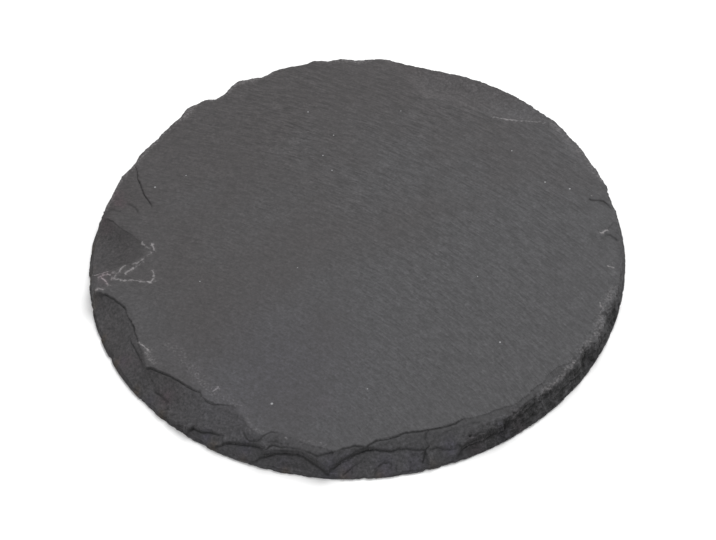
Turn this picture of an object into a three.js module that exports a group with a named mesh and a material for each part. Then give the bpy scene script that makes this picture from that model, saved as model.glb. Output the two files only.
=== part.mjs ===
// A round slab of natural slate, about coaster size.
//
// It is one piece: split along its bedding to an even thickness, then dressed to a circle by
// knapping the rim from above, so the underside keeps the full circle and the chipped bevel
// faces up.  Millimetres, +Z up.  The origin is the centre of the flat underside.

import * as THREE from "three";

// Driving dimensions
const DIAMETER = 100;
const THICKNESS = 5;
const RIM_HEIGHT = 0.45;
const RIM_LEAN = 0.12;

// How finely the rim is cut into facets
const SEGMENTS = 180;

// Worked out from the driving dimensions
const RADIUS = DIAMETER / 2;
const FACE_RINGS = [0, 0.24, 0.48, 0.7];
const SHOULDER_INSET = 2.6;

// The lines that run round the rim.  Each point is [angle, inset, depth]: the plan angle in
// degrees, anticlockwise from +X, the distance in from the full circle, and the distance down
// from the top face.  The front of the slab is at 270.

// Where the top face ends
const TOP_EDGE = [
  [0, 3.4, 0.05], [6, 4.4, 0.1], [10, 3.8, 0.05], [20, 4.4, 0.05], [28, 4.4, 0.05],
  [36, 3.0, 0.05], [39, 4.0, 0.05], [43, 6.6, 0.05], [48, 8.2, 0.05], [58, 9.1, 0.05],
  [68, 8.6, 0.05], [72, 6.8, 0.05], [76, 5.4, 0.05], [79, 3.9, 0.1], [90, 3.2, 0.1],
  [98, 2.8, 0.1], [107, 3.2, 0.1], [111, 3.9, 0.1], [118, 3.2, 0.1], [123, 4.1, 0.1],
  [130, 2.8, 0.1], [138, 3.6, 0.1], [146, 3.6, 0.1], [152, 3.1, 0.05], [154, 4.3, 0.05],
  [156, 5.6, 0.05], [160, 8.2, 0.05], [162, 10.0, 0.05], [168, 9.6, 0.05],
  [172, 7.8, 0.05], [177, 10.7, 0.05], [180, 10.4, 0.05], [184, 7.0, 0.05],
  [186, 3.4, 0.05], [190, 2.6, 0.05], [192, 4.2, 0.05], [196, 5.8, 0.05], [203, 5.6, 0.05],
  [208, 4.5, 0.05], [214, 3.6, 0.05], [217, 4.9, 0.05], [220, 5.8, 0.05], [228, 6.7, 0.05],
  [236, 7.1, 0.05], [240, 6.4, 0.1], [243, 3.6, 0.3], [246, 2.9, 0.3], [248, 4.4, 0.15],
  [250, 3.0, 0.15], [254, 2.9, 0.15], [259, 2.4, 0.2], [262, 2.9, 0.3], [266, 3.9, 0.15],
  [270, 4.5, 0.05], [276, 4.8, 0.05], [280, 5.6, 0.05], [286, 5.0, 0.05], [292, 5.3, 0.05],
  [294, 4.1, 0.05], [302, 3.6, 0.05], [310, 3.6, 0.05], [320, 2.9, 0.05], [330, 3.4, 0.05],
  [340, 2.6, 0.05], [350, 3.2, 0.05],
];

// The foot of the first step down from the top face, outside the top edge by STEP_RUN
const STEP_RUN = 0.25;
const STEP_DROP = [
  [0, 0.2], [6, 0.6], [10, 0.15], [36, 0.15], [43, 0.2], [58, 0.08], [72, 0.2], [79, 0.35],
  [100, 0.3], [140, 0.3], [152, 0.3], [162, 0.25], [170, 0.35], [177, 0.45], [184, 0.3],
  [188, 0.1], [192, 0.55], [203, 0.65], [213, 0.4], [218, 0.7], [230, 0.65], [239, 0.25],
  [246, 0.3], [250, 0.25], [262, 0.3], [268, 0.3], [280, 0.45], [292, 0.4], [296, 0.15],
  [310, 0.25], [322, 0.2], [340, 0.15],
];

// The brow of the outer break, where the terrace below the step ends
const BROW = [
  [0, 1.3, 0.8], [5, 1.2, 1.0], [8, 1.9, 1.5], [12, 1.2, 0.8], [20, 1.9, 0.7],
  [32, 1.7, 0.7], [48, 2.0, 0.7], [60, 2.5, 0.7], [70, 3.0, 0.6], [77, 2.6, 0.6],
  [80, 2.1, 0.5], [87, 2.3, 0.6], [91, 1.9, 0.5], [97, 1.6, 0.6], [107, 2.0, 0.6],
  [111, 2.7, 0.8], [116, 1.7, 0.6], [123, 3.0, 0.9], [129, 1.7, 0.6], [136, 2.5, 0.8],
  [146, 2.5, 0.8], [150, 2.9, 0.9], [155, 1.9, 0.6], [162, 2.2, 0.9], [167, 2.0, 1.2],
  [172, 1.6, 2.3], [180, 1.4, 2.7], [185, 1.3, 1.6], [189, 1.2, 1.6], [194, 1.2, 2.6],
  [206, 1.1, 2.9], [218, 1.1, 3.0], [230, 0.9, 3.3], [232, 1.8, 2.8], [236, 2.4, 2.2],
  [238, 1.1, 3.1], [242, 2.2, 2.3], [246, 2.5, 1.7], [248, 1.2, 2.8], [252, 2.3, 0.8],
  [256, 2.2, 0.6], [260, 1.6, 1.1], [262, 0.9, 1.6], [264, 1.7, 1.4], [268, 2.9, 1.1],
  [270, 3.4, 1.1], [276, 3.3, 1.2], [282, 2.9, 1.2], [286, 1.1, 2.2], [290, 0.7, 2.0],
  [296, 0.8, 1.9], [300, 1.6, 0.8], [308, 1.6, 0.7], [315, 1.9, 0.7], [321, 1.0, 0.9],
  [324, 1.9, 0.8], [330, 1.0, 0.9], [336, 1.6, 0.7], [342, 0.9, 0.8], [352, 1.3, 0.7],
];

// The foot of that break: how much further out and down than the brow
const BREAK_FOOT = [
  [0, 0.4, 1.4], [20, 0.5, 1.5], [60, 0.8, 1.6], [110, 0.7, 1.5], [150, 0.8, 1.5],
  [172, 0.4, 0.8], [190, 0.4, 0.8], [210, 0.3, 0.6], [230, 0.3, 0.5], [242, 0.4, 0.8],
  [250, 0.5, 1.1], [256, 0.4, 1.3], [262, 0.3, 0.8], [270, 0.3, 0.7], [284, 0.3, 0.7],
  [290, 0.25, 1.1], [300, 0.4, 1.7], [320, 0.45, 1.9], [340, 0.4, 1.6],
];

// How far the lower face sinks below a straight line between the break's foot and the rim
const LOWER_FACE_HOLLOW = 0.16;
// How far the terrace sinks in the same way
const TERRACE_HOLLOW = 0.1;

// Linear interpolation of one column of a line at a plan angle
function along(line, column, angle) {
  const turn = (angle % 360 + 360) % 360;
  const after = line.findIndex((point) => point[0] > turn);
  const nextIndex = after < 0 ? 0 : after;
  const lastIndex = (nextIndex + line.length - 1) % line.length;
  const start = line[lastIndex];
  const end = line[nextIndex];
  const span = (end[0] - start[0] + 360) % 360;
  const share = ((turn - start[0] + 360) % 360) / span;
  return start[column] + (end[column] - start[column]) * share;
}

// The gentle unevenness of the split face, zero at the centre and never above it
function rivenDepth(radius, angle) {
  const turn = THREE.MathUtils.degToRad(angle);
  const swell = Math.sin(2 * turn + 0.6) + Math.sin(3 * turn - 1.1);
  const reach = radius / RADIUS;
  return 0.03 * reach * (2 + swell);
}

// One radial section of the slab at a plan angle, from the underside's centre, round the rim,
// to the centre of the top face: [radius, height] pairs
function section(angle) {
  const edgeRadius = RADIUS - along(TOP_EDGE, 1, angle);
  const edgeDepth = along(TOP_EDGE, 2, angle) + rivenDepth(edgeRadius, angle);
  const footRadius = edgeRadius + STEP_RUN;
  const footDepth = edgeDepth + along(STEP_DROP, 1, angle);
  const browRadius = Math.max(RADIUS - along(BROW, 1, angle), footRadius + STEP_RUN);
  const browDepth = Math.max(along(BROW, 2, angle), footDepth + 0.1);
  const breakRadius = Math.min(browRadius + along(BREAK_FOOT, 1, angle), RADIUS - RIM_LEAN);
  const breakDepth = browDepth + along(BREAK_FOOT, 2, angle);
  const rimRadius = RADIUS - RIM_LEAN;
  const rimDepth = THICKNESS - RIM_HEIGHT;
  const lowerRadius = (breakRadius + rimRadius) / 2;
  const lowerDepth = (breakDepth + rimDepth) / 2 + LOWER_FACE_HOLLOW;
  const terraceRadius = (footRadius + browRadius) / 2;
  const terraceDepth = (footDepth + browDepth) / 2 + TERRACE_HOLLOW;
  const shoulderRadius = edgeRadius - SHOULDER_INSET;
  const rim = [
    [0, THICKNESS],
    [RADIUS, THICKNESS],
    [rimRadius, rimDepth],
    [lowerRadius, lowerDepth],
    [breakRadius, breakDepth],
    [browRadius, browDepth],
    [terraceRadius, terraceDepth],
    [footRadius, footDepth],
    [edgeRadius, edgeDepth],
    [shoulderRadius, rivenDepth(shoulderRadius, angle)],
  ];
  const face = FACE_RINGS.map((share) => share * RADIUS).reverse();
  const split = face.map((radius) => [radius, rivenDepth(radius, angle)]);
  return [...rim, ...split].map(([radius, depth]) => [radius, THICKNESS - depth]);
}

// A turned disc whose rings are then pulled onto the slab's own section at each angle
function slabGeometry() {
  const turned = section(0).map(([radius, height]) => new THREE.Vector2(radius, height));
  const geometry = new THREE.LatheGeometry(turned, SEGMENTS);
  geometry.rotateX(Math.PI / 2);
  const position = geometry.attributes.position;
  for (let segment = 0; segment <= SEGMENTS; segment += 1) {
    const angle = (360 * segment) / SEGMENTS - 90;
    const turn = THREE.MathUtils.degToRad(angle);
    section(angle).forEach(([radius, height], ring) => {
      const vertex = segment * turned.length + ring;
      position.setXYZ(vertex, radius * Math.cos(turn), radius * Math.sin(turn), height);
    });
  }
  geometry.computeVertexNormals();
  return geometry;
}

const slate = new THREE.MeshStandardMaterial({
  color: 0x59585a,
  roughness: 0.85,
  metalness: 0,
});

const slab = new THREE.Mesh(slabGeometry(), slate);
slab.name = "slate_slab";

const object = new THREE.Group();
object.add(slab);

export default object;
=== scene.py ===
"""A round slab of natural slate: split top face, chipped bevel, flat underside.

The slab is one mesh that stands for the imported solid. Its relief is worked out in millimetres as a
depth below the top face, on columns that run from the centre over the rim to the underside.
Angles are plan angles in degrees, anticlockwise from +X, and the front of the slab is at 270.
"""

import math

import bpy
import numpy as np
from mathutils import Matrix, Vector


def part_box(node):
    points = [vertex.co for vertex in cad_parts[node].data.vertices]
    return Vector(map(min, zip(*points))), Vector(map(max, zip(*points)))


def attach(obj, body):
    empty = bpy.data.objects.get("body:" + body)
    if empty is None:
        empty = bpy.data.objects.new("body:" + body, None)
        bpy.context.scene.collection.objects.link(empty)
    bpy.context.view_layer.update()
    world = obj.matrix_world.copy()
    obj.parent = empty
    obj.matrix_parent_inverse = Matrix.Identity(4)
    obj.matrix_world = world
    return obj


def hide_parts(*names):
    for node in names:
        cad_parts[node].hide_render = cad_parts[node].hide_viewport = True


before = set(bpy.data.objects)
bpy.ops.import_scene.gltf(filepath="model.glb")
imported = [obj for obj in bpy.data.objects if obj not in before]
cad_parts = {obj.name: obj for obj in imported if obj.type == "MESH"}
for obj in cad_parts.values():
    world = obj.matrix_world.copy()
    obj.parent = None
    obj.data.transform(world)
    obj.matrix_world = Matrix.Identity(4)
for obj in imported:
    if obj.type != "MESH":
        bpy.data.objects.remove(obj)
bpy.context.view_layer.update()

NODE = "slate_slab"
MM = 0.001
LOW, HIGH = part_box(NODE)
RADIUS = (HIGH[0] - LOW[0]) / 2 / MM
THICKNESS = (HIGH[2] - LOW[2]) / MM

# How finely the slab is cut up, before flat stretches are thinned out
COLUMNS = 2160
BAND_INSET = 15.0
BAND_STEP = 0.1
BAND_RINGS = 150
FACE_SPACING = 0.34
UNDERSIDE_SPACING = 1.2
TRIANGLES = 188000

# The ridges of the split face are arcs about a point far off to the front left
GRAIN_CENTRE = (-70.0, -96.0)
GRAIN_RADIUS = 140.0

# Lengths in mm
CREASE_WIDTH = 0.15
CREASE_DEPTH = 0.18
FACE_DEPTH = 0.11
SWELL_DEPTH = 0.05
RIDGE_DEPTH = 0.012
PIT_DEPTH = 0.008
SHEET_THICKNESS = 0.42
LEDGE_THICKNESS = 0.33
RIM_LEAN = 0.12
LOWEST_BREAK = 0.3
BOX_MARGIN = 0.01

# How much of a slope goes into steps at the stone's layers
STEP_SHARE = 0.55

# Edges that turn by more degrees than this are shaded sharp
SHARP_TURN = 48

# The rough stretch of rim at the lower right: where it sets in, and where it fades out
ROUGH_START = (284, 300)
ROUGH_END = (338, 352)

# Smooth seeded noise


def lattice(ix, iy, iz, seed):
    """A repeatable value from -1 to 1 at each whole-number point."""
    mix = ix.astype(np.int64) * 374761393 + iy.astype(np.int64) * 668265263
    mix = mix + iz.astype(np.int64) * 2147483647 + seed * 1274126177
    mix = (mix ^ (mix >> 13)) * 1103515245
    mix = (mix ^ (mix >> 16)) & 0xFFFFFF
    return mix / float(0x7FFFFF) - 1.0


def noise(x, y, z=0.0, seed=0):
    """Smooth noise from -1 to 1 with features about one unit across."""
    x, y, z = np.broadcast_arrays(x, y, z)
    ix, iy, iz = np.floor(x), np.floor(y), np.floor(z)
    fx, fy, fz = x - ix, y - iy, z - iz
    sx, sy, sz = (f * f * (3 - 2 * f) for f in (fx, fy, fz))
    total = 0.0
    for dx in (0, 1):
        for dy in (0, 1):
            for dz in (0, 1):
                share = (sx if dx else 1 - sx) * (sy if dy else 1 - sy) * (sz if dz else 1 - sz)
                total = total + share * lattice(ix + dx, iy + dy, iz + dz, seed)
    return total


def layered_noise(x, y, z=0.0, seed=0, octaves=3, gain=0.5):
    total, size = 0.0, 1.0
    for octave in range(octaves):
        step = 2.0 ** octave
        total = total + size * noise(x * step, y * step, z * step, seed + 17 * octave)
        size *= gain
    return total


def smooth(value, low, high):
    """0 below low, 1 above high, eased between."""
    share = np.clip((value - low) / (high - low), 0, 1)
    return share * share * (3 - 2 * share)


def smooth_down(value, low, high):
    """1 below low, 0 above high, eased between."""
    return smooth(-value, -high, -low)


# The broken layers: (ease, hollow, tone, blend, outline). Each point of an outline is (angle,
# inset, foot, rim, crease): its distance in from the full circle, the depth just outside it, the
# depth that its floor would have at the full circle, and how strongly the crease at its foot is cut
# in and painted dark as shade. The floor sinks by hollow. An outline's ends fade out over ease
# degrees. tone is how light the stone is at the outline and at the rim, partly the broken stone's
# own colour and partly painted light and shade, and it sets in over blend mm.

RIM_FLOOR = 4.5

# (angle, inset, foot, tone): tone darkens the broken rim, partly as its own colour and partly as
# painted shade
OUTER_BREAK = [
    (0, 1.1, 1.6, 0.85), (5, 0.9, 1.7, 0.9), (8, 1.5, 1.4, 0.95), (12, 1, 1.7, 1), (20, 1.3, 1.8, 1),
    (32, 1.3, 1.9, 1), (48, 1.4, 2, 1), (60, 1.9, 2, 1), (70, 2.5, 1.7, 1), (77, 2.2, 1.9, 1),
    (79.7, 1.6, 2, 1), (87, 1.9, 1.9, 1), (91, 1.4, 2.1, 1), (94, 1.7, 2, 1), (97, 1.1, 2.2, 1),
    (99, 1.6, 2, 1), (107, 1.5, 2, 1), (110, 2.2, 1.7, 1), (112, 1.9, 1.8, 1), (115.6, 1.2, 2.1, 1),
    (118, 1.7, 1.9, 1), (120, 2.6, 1.5, 1), (123, 2.7, 1.5, 1), (125, 1.5, 1.9, 1), (130, 1.2, 2.1, 1),
    (132.5, 2.1, 1.8, 1), (136, 2, 1.8, 1), (141, 2.3, 1.7, 1), (147, 2, 1.8, 1), (151, 2.5, 1.7, 1),
    (154.7, 1.6, 1.9, 1), (160, 1.8, 2, 1), (165, 1.6, 2.2, 0.95), (172, 1.2, 2.9, 0.9),
    (178, 1.1, 3.1, 0.9), (184, 0.9, 2.2, 0.85), (187, 0.8, 2.2, 0.85), (190, 0.7, 3.2, 0.85),
    (195, 0.6, 4, 0.9), (205, 0.5, 4.1, 0.95), (215, 0.5, 4.1, 0.95), (225, 0.4, 4.2, 0.95),
    (232, 0.35, 4.2, 0.95), (262, 0.3, 4.2, 0.9), (276, 0.3, 4.2, 0.8), (284, 0.3, 4.2, 0.75),
    (288, 0.4, 3.9, 0.65), (290, 0.4, 3.6, 0.6), (293, 0.4, 3.5, 0.6), (296.2, 0.4, 3.3, 0.6),
    (297.8, 0.4, 3, 0.55), (298.9, 0.8, 2.6, 0.5), (300.3, 1.3, 2.1, 0.5), (302, 1.4, 1.9, 0.5),
    (303.7, 1.4, 1.9, 0.55), (305.8, 1.6, 1.8, 0.55), (307.8, 1.7, 1.8, 0.55), (309.3, 1.3, 1.9, 0.6),
    (311, 1.4, 1.8, 0.7), (312.5, 1.1, 2, 0.75), (314.2, 1, 2, 0.75), (317, 0.9, 2.1, 0.7),
    (318.7, 0.9, 2.1, 0.65), (320.6, 0.6, 2.4, 0.6), (322, 0.7, 2.3, 0.5), (323.2, 1.3, 2, 0.5),
    (325, 1.8, 1.8, 0.5), (326.1, 1.2, 2, 0.5), (328.3, 0.6, 2.3, 0.55), (332, 0.8, 2.1, 0.5),
    (334.7, 1.2, 1.8, 0.55), (337.6, 1, 2, 0.5), (340, 0.8, 2, 0.55), (346, 0.7, 2, 0.75),
    (352, 0.8, 1.8, 0.8), (357, 1.2, 1.7, 0.8),
]

LAYERS = [
    # the long terrace on the left, in three scallops
    (1, 0.1, (0.98, 1.06), 0.2, [
        (188.6, 0.6, 1.6, 2.4, 0.2), (189.7, 2, 0.5, 3, 0.4), (190.6, 3.1, 0.34, 3.3, 0.9),
        (192.6, 4.4, 0.32, 3.7, 1), (194, 5.1, 0.32, 3.8, 0.9), (195.6, 5.7, 0.32, 3.9, 1.1),
        (197.3, 5.8, 0.32, 4, 0.4), (199.2, 5.7, 0.32, 4, 0.3), (200.6, 5.8, 0.33, 4, 1),
        (202.8, 5.7, 0.34, 4, 1), (205, 5.4, 0.34, 4, 0.7), (206.8, 5.1, 0.34, 4, 0.4),
        (209.3, 4.7, 0.34, 4, 0.4), (212.1, 4, 0.4, 4, 0.4), (214, 3.4, 0.5, 4, 0.5),
        (214.8, 3.9, 0.42, 4, 1), (216, 4.5, 0.4, 4, 1), (217.7, 5.1, 0.38, 4, 0.9),
        (219.5, 5.5, 0.37, 3.9, 0.9), (221.8, 5.9, 0.36, 3.8, 1), (224.3, 6.1, 0.34, 3.6, 0.9),
        (226.3, 6.3, 0.33, 3.5, 0.7), (228.2, 6.6, 0.28, 3.2, 0.3), (230.2, 5.9, 0.26, 3.1, 0.3),
        (231, 5.7, 0.3, 3.1, 0.7), (233, 5.9, 0.3, 3, 0.8), (234, 6.4, 0.27, 3, 0.5),
        (235.6, 6.8, 0.23, 2.9, 0.4), (236.9, 7.2, 0.19, 2.9, 0.3), (238.1, 7.1, 0.15, 2.8, 0.1),
        (239.5, 6.7, 0.14, 2.8, 0), (243, 4.5, 0.14, 2.8, 0), (248, 3.4, 0.14, 2.6, 0),
    ]),
    # where its step splits in two
    (1.2, 0, (1, 1.06), 0.2, [
        (203, 4.6, 0.7, 4, 0.2), (205.3, 4.2, 0.85, 4, 1), (206.9, 4.2, 0.85, 4, 1),
        (208.9, 4.1, 0.85, 4, 1), (211, 3.8, 0.85, 4, 0.8), (213.6, 3.2, 0.9, 4, 0.6),
    ]),
    # the curl of thin stone where that terrace ends, and the sheet on from it
    (0.8, 0, (0.96, 1), 0.2, [
        (242, 4.2, 0.2, 2, 0.1), (242.6, 3.4, 0.22, 2, 0.5), (243.5, 2.7, 0.26, 2, 0.8),
        (244.6, 2.5, 0.27, 2, 0.9), (246, 2.6, 0.27, 2, 0.8), (246.9, 3.2, 0.25, 2, 0.8),
        (247.5, 4, 0.23, 2, 0.7), (248.4, 4.6, 0.2, 2, 0.6), (250, 5, 0.17, 2, 0.3),
        (253, 4.6, 0.15, 1.8, 0.1), (255.5, 3.9, 0.2, 1.6, 0.2), (257.5, 3.5, 0.2, 1.6, 0.2),
        (259.9, 3.2, 0.2, 1.5, 0.2), (262.5, 2.6, 0.2, 1.4, 0),
    ]),
    # the two shallow chips below the terrace
    (0.8, 0.1, (0.98, 1), 0.15, [
        (229, 0.1, 3.9, 4.3, 0.4), (230.5, 0.3, 3.6, 4.3, 1), (231, 0.8, 3.3, 4.3, 1),
        (231.3, 1.3, 3.1, 4.3, 1.2), (232.1, 1.2, 3, 4.3, 1.2), (233.3, 1.2, 2.9, 4.2, 1.2),
        (235.3, 1.8, 2.6, 4.1, 1.2), (237, 2, 2.4, 3.9, 0.8), (239.2, 2.3, 2.1, 3.4, 0.1),
    ]),
    (0.8, 0.1, (0.96, 1), 0.15, [
        (236, 0.2, 3.9, 4.3, 0.5), (237.7, 0.3, 3.6, 4.3, 1), (239.1, 1, 3, 4.3, 1),
        (240.4, 1.6, 2.6, 4.3, 1), (242.6, 1.9, 2.3, 4.2, 1), (244.8, 2.2, 2, 4.1, 1),
        (246.2, 2.1, 1.9, 4.1, 0.8), (248.5, 2.2, 1.75, 3.8, 0.1),
    ]),
    # the thin sheet above the deep scar
    (0.8, 0, (0.96, 0.96), 0.15, [
        (247.2, 1.3, 1.3, 2.6, 0.5), (248.6, 1.8, 1, 2.4, 1), (249.2, 2.4, 0.82, 2.4, 1.1),
        (249.8, 2.7, 0.72, 2.4, 1), (251.4, 2.6, 0.64, 2.4, 0.8), (254.6, 2.7, 0.56, 2.4, 0.6),
        (256.9, 2.5, 0.62, 2.4, 0.6), (258.1, 2.2, 0.7, 2.2, 0.7), (259, 1.9, 0.8, 2.2, 0.8),
        (259.7, 1.9, 0.8, 2.2, 0.9), (260.5, 2.1, 0.7, 2.2, 0.7), (262.1, 2.5, 0.6, 2.1, 0.5),
        (263.3, 2.8, 0.5, 2.1, 0.2),
    ]),
    # the deep scar left of the point
    (0.3, 0.35, (0.98, 1.12), 0.15, [
        (245.2, 0.1, 4.2, 4.4, 0.6), (246.5, 0.4, 3.6, 4.4, 1), (247.5, 1, 3, 4.4, 1),
        (248.5, 1.3, 2.7, 4.4, 1.1), (249.5, 1.6, 2.35, 4.3, 1.2), (250.8, 1.9, 2, 4.3, 1.2),
        (252.2, 2.1, 1.85, 4.3, 1.1), (253.7, 2.2, 1.75, 4.3, 1), (255.1, 2.3, 1.7, 4.3, 1),
        (256.4, 2.2, 1.75, 4.3, 1), (257.6, 1.8, 1.95, 4.3, 1.1), (258.7, 1.3, 2.3, 4.4, 1.1),
        (260.2, 0.9, 2.7, 4.4, 1.1), (261.1, 0.6, 3.1, 4.4, 1.1), (262.2, 0.3, 3.4, 4.4, 1),
    ]),
    # the front face: the step down from the top, out to the point and on to the right
    (0.7, 0, (0.86, 0.9), 0.15, [
        (262, 2.2, 0.24, 2.6, 0.3), (263.3, 2.7, 0.27, 3, 0.4), (264.6, 3.2, 0.28, 3.3, 0.7),
        (265.4, 3.4, 0.29, 3.3, 0.8), (266.3, 3.7, 0.3, 3.3, 0.9), (267.3, 3.9, 0.3, 3.3, 0.8),
        (268.8, 3.7, 0.3, 3.3, 0.8), (269.7, 3.6, 0.3, 3.3, 0.9), (270.6, 4.2, 0.31, 3.3, 1),
        (271.9, 4.8, 0.32, 3.3, 1), (274, 4.9, 0.32, 3.3, 0.6), (275.5, 5, 0.32, 3.3, 0.8),
        (276.9, 5.2, 0.32, 3.3, 0.9), (278.1, 5.5, 0.32, 3.3, 0.9), (279.8, 5.5, 0.32, 3.3, 0.8),
        (281.5, 5.2, 0.32, 3.3, 0.8), (283, 5.1, 0.32, 3.3, 0.6), (284.6, 4.9, 0.31, 3.2, 0.7),
        (286.4, 4.8, 0.31, 3, 0.8), (288.1, 4.7, 0.31, 2.8, 0.8), (289.8, 4.6, 0.3, 2.6, 1),
        (291.1, 5, 0.29, 2.3, 0.9), (292, 5.2, 0.26, 2.1, 0.6), (292.8, 4.9, 0.2, 2, 0.3),
        (293.7, 4.1, 0.15, 1.8, 0.1), (295.8, 3.9, 0.15, 1.5, 0.05), (298.4, 3.7, 0.15, 1.2, 0.1),
    ]),
    # where that step turns soft, on the right
    (1, 0, (0.77, 0.8), 0.12, [
        (292.2, 5.3, 0.24, 1.5, 0.1), (293.6, 4.6, 0.24, 1.5, 0.15), (295.4, 4.2, 0.24, 1.2, 0.1),
        (297.6, 3.9, 0.24, 1.1, 0.1), (299.8, 3.8, 0.24, 1, 0.1), (301.5, 3.4, 0.24, 1, 0.15),
        (303, 3.1, 0.24, 1, 0.15), (307, 3.1, 0.24, 1, 0.1), (311.3, 3.1, 0.24, 1, 0.05),
        (314.1, 3.3, 0.24, 1, 0.05), (316.7, 3.2, 0.24, 1, 0.1), (318.9, 2.9, 0.24, 1, 0.1),
        (320.3, 2.2, 0.24, 0.9, 0), (325, 1.8, 0.2, 0.9, 0),
    ]),
    # the second step, from the point to the right
    (0.4, 0.15, (1, 1.05), 0.15, [
        (261.7, 0.3, 3.4, 4.4, 0.9), (262.8, 0.9, 2.75, 4.4, 1.1), (263.8, 1.5, 2.3, 4.4, 1.1),
        (264.8, 2, 2.05, 4.4, 1.1), (266, 2.5, 1.85, 4.4, 1), (267.5, 3.1, 1.6, 4.4, 0.9),
        (268.8, 3.5, 1.45, 4.4, 0.9), (270.1, 3.8, 1.35, 4.4, 0.8), (271.6, 3.7, 1.4, 4.4, 0.6),
        (273.3, 3.3, 1.55, 4.4, 0.7), (274.7, 3.1, 1.65, 4.4, 0.7), (276.3, 3.3, 1.65, 4.4, 0.7),
        (278, 3.2, 1.75, 4.4, 0.7), (279.6, 2.9, 1.9, 4.4, 0.6), (281.1, 2.7, 2, 4.4, 0.6),
        (282.4, 2.5, 2.1, 4.3, 0.4),
    ]),
    (0.8, 0.05, (0.95, 0.95), 0.15, [
        (282.6, 2.2, 2.1, 4.2, 0.3), (283.5, 2.2, 2.1, 4.2, 0.5), (284.6, 2.4, 2, 4.1, 0.5),
        (286.2, 1.6, 2.4, 4, 0.4), (287.6, 1.4, 2.45, 3.8, 0.4), (288.9, 1.4, 2.3, 3.4, 0.4),
        (290.3, 0.9, 2.4, 3, 0.3), (291.5, 0.7, 2.4, 2.8, 0.1),
    ]),
    # overlapping flakes on the lower face
    (0.3, 0, (1, 0.95), 0.3, [
        (264.4, 0.3, 4.1, 4.5, 0.4), (265.2, 0.7, 3.8, 4.5, 0.9), (266.2, 1.3, 3.4, 4.5, 0.9),
        (267.4, 1.9, 3, 4.5, 0.6), (268.4, 2.3, 2.7, 4.5, 0.4), (270.1, 2.2, 2.7, 4.5, 0.2),
        (272, 1.2, 3.3, 4.5, 0),
    ]),
    (0.3, 0, (0.98, 0.92), 0.3, [
        (270.5, 0.4, 4.1, 4.5, 0.3), (271.3, 1.1, 3.6, 4.5, 0.6), (272.4, 1.7, 3.2, 4.5, 0.8),
        (273.2, 2, 3, 4.5, 0.7), (274.1, 1.9, 3, 4.5, 0.5), (274.9, 1.5, 3.3, 4.5, 0.3),
        (276.5, 1, 3.7, 4.5, 0),
    ]),
    # the scoop at the foot of the right-hand end, darkened with painted shade
    (0.4, 0.15, (0.62, 0.75), 0.15, [
        (287.4, 0.3, 3.8, 4.5, 0.5), (288.6, 0.8, 3.3, 4.5, 1), (289.6, 1.1, 3, 4.5, 1.1),
        (290.6, 1.3, 2.8, 4.5, 1.1), (291.8, 1.3, 2.7, 4.5, 1.1), (293.4, 1.2, 2.7, 4.5, 1.1),
        (295, 1.1, 2.6, 4.5, 1.1), (296.7, 1.1, 2.5, 4.5, 1.1), (298.2, 1.1, 2.5, 4.5, 1),
        (299.6, 0.8, 2.7, 4.5, 0.6),
    ]),
    # the chip on the left, darker at its outline, partly as painted shade
    (0.8, 0.1, (0.79, 1.05), 0.5, [
        (165.8, 0.8, 0.9, 1.2, 0), (167.4, 2, 0.5, 1.5, 0.1), (168.6, 3.8, 0.26, 1.8, 0.3),
        (170.1, 5.2, 0.2, 2, 0.25), (171.2, 6.3, 0.18, 2.1, 0.35), (172.3, 7.6, 0.16, 2.2, 0.4),
        (173.2, 8.7, 0.16, 2.2, 0.2), (174.6, 9.7, 0.15, 2.2, 0.2), (175.8, 10.3, 0.15, 2.2, 0.2),
        (177.2, 10.7, 0.15, 2.2, 0.2), (179.3, 10.7, 0.15, 2.1, 0.1), (180.6, 10.1, 0.15, 1.9, 0.1),
        (181.8, 9, 0.15, 1.6, 0.1), (182.6, 7.5, 0.15, 1.4, 0), (183.3, 5.9, 0.15, 1.2, 0),
        (184, 4.2, 0.15, 1, 0), (184.8, 1.8, 0.4, 0.8, 0),
    ]),
    # the thin sheet lost above it
    (0.5, 0, (0.97, 0.97), 0.4, [
        (150.5, 2.4, 0.4, 0.5, 0), (151.5, 3.5, 0.3, 0.6, 0.3), (153.7, 4.6, 0.27, 0.6, 0.6),
        (155.3, 5.6, 0.25, 0.6, 1), (157, 6.6, 0.24, 0.6, 0.8), (159.2, 8.1, 0.24, 0.65, 0.8),
        (160.9, 9.4, 0.22, 0.7, 0.9), (162.4, 10.3, 0.16, 0.75, 0.4), (163.4, 8.6, 0.13, 0.8, 0),
        (165, 5.6, 0.13, 0.9, 0), (168, 3.5, 0.15, 1, 0),
    ]),
    # the thin sheet lost at the rear right, lightened with painted light
    (0.5, 0, (1.27, 1.18), 0.5, [
        (35.2, 2, 0.35, 0.7, 0), (38.1, 4.3, 0.32, 0.8, 0), (40.8, 6.3, 0.32, 0.8, 0),
        (45.3, 8.4, 0.32, 0.85, 0), (50.9, 9.4, 0.32, 0.9, 0), (56.4, 10.4, 0.32, 0.9, 0),
        (62.6, 10.8, 0.32, 0.9, 0), (67.4, 10.8, 0.32, 0.9, 0), (70.3, 9.7, 0.32, 0.85, 0),
        (73.4, 7.5, 0.32, 0.85, 0), (76.6, 5.1, 0.32, 0.8, 0), (80.8, 2.2, 0.35, 0.6, 0),
    ]),
    # the worn bevels on the right; the one at the back is also lightened with painted light
    (2, 0, (1.18, 1.18), 0.8, [
        (13, 1.6, 0.3, 0.6, 0), (15.4, 3, 0.2, 0.7, 0), (20.6, 3.6, 0.2, 0.8, 0),
        (28, 3.8, 0.2, 0.8, 0), (34, 3.6, 0.2, 0.8, 0), (37, 2, 0.3, 0.7, 0),
    ]),
    (1.5, 0, (0.97, 0.95), 0.6, [
        (338, 1.5, 0.3, 0.5, 0), (342, 2.6, 0.14, 0.6, 0), (350, 3.2, 0.13, 0.7, 0),
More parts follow.
